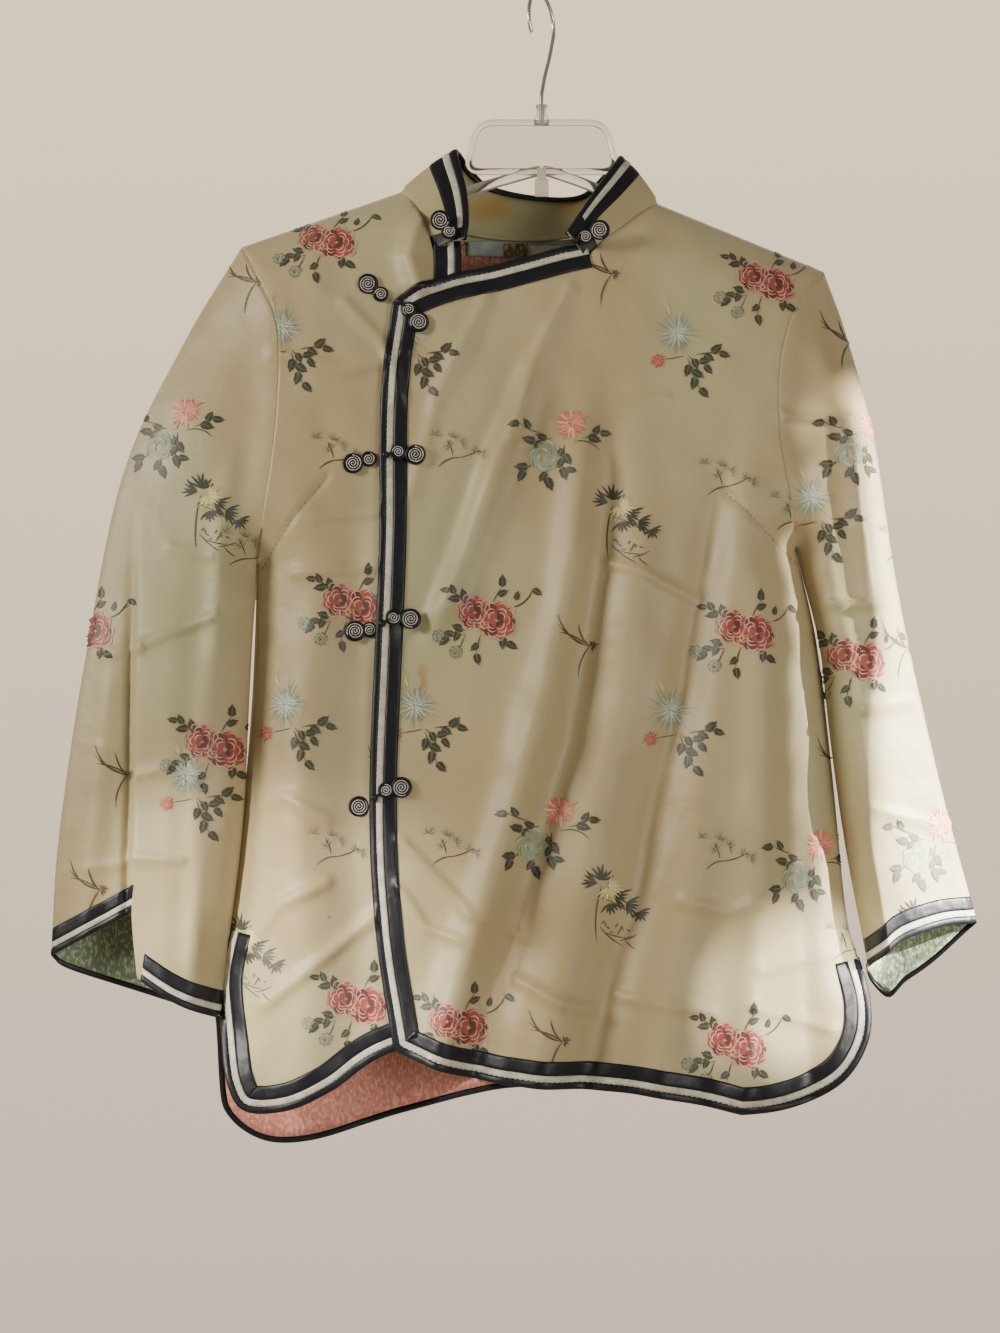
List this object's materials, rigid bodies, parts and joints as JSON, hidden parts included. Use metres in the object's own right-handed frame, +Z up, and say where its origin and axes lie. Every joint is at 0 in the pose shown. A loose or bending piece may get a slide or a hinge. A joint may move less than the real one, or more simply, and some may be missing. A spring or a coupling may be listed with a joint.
{
  "type": "tang jacket on a clothes hanger",
  "caption": "Open-fronted tang jacket with a stand collar, offset closure, bound edges and coiled frogs, hung on a clear hanger with a wire hook.",
  "frame": {"origin": "inside top of the hook, where the hanger rests on its rail", "axes": "+Z up, +X to the right of someone facing the front of the jacket, front of the jacket towards -Y"},
  "size_m": [0.6545, 0.0745, 0.8272],
  "materials": {
    "brocade": "lustrous champagne silk with woven flowers",
    "navy_satin": "navy satin",
    "piping": "off-white cotton satin",
    "body_lining": "crinkled salmon lining",
    "cuff_lining": "speckled green lining",
    "neck_tape": "pale blue-green tape",
    "label_tape": "plain woven label, blank",
    "cord": "silvery cord on navy",
    "clear_plastic": "clear moulded plastic",
    "hook_steel": "plated steel wire"
  },
  "bodies": {
    "root": {"over_front": "brocade", "over_front_binding": "navy_satin", "over_front_piping": "piping", "over_front_band": "navy_satin", "under_front": "brocade", "under_front_binding": "navy_satin", "under_front_piping": "piping", "under_front_band": "navy_satin", "back": "brocade", "back_binding": "navy_satin", "back_piping": "piping", "back_band": "navy_satin", "left_sleeve": "brocade", "left_sleeve_cuff_front_binding": "navy_satin", "left_sleeve_cuff_back_binding": "navy_satin", "left_sleeve_cuff_front_piping": "piping", "left_sleeve_cuff_back_piping": "piping", "left_sleeve_cuff_front_band": "navy_satin", "left_sleeve_cuff_back_band": "navy_satin", "left_sleeve_lining": "cuff_lining", "right_sleeve": "brocade", "right_sleeve_cuff_front_binding": "navy_satin", "right_sleeve_cuff_back_binding": "navy_satin", "right_sleeve_cuff_front_piping": "piping", "right_sleeve_cuff_back_piping": "piping", "right_sleeve_cuff_front_band": "navy_satin", "right_sleeve_cuff_back_band": "navy_satin", "right_sleeve_lining": "cuff_lining", "back_lining_at_neck": "body_lining", "back_lining_at_hem": "body_lining", "neck_facing": "neck_tape", "small_label": "label_tape", "large_label": "label_tape", "collar": "brocade", "collar_band": "navy_satin", "collar_piping": "piping", "collar_binding": "navy_satin", "frog_1_loop_side": "cord", "frog_1_knot_side": "cord", "frog_2_loop_side": "cord", "frog_2_knot_side": "cord", "frog_3_loop_side": "cord", "frog_3_knot_side": "cord", "frog_4_loop_side": "cord", "frog_4_knot_side": "cord", "collar_frog_loop_side": "cord", "collar_frog_knot_side": "cord", "hanger": "clear_plastic", "hook": "hook_steel"}
  },
  "joints": []
}
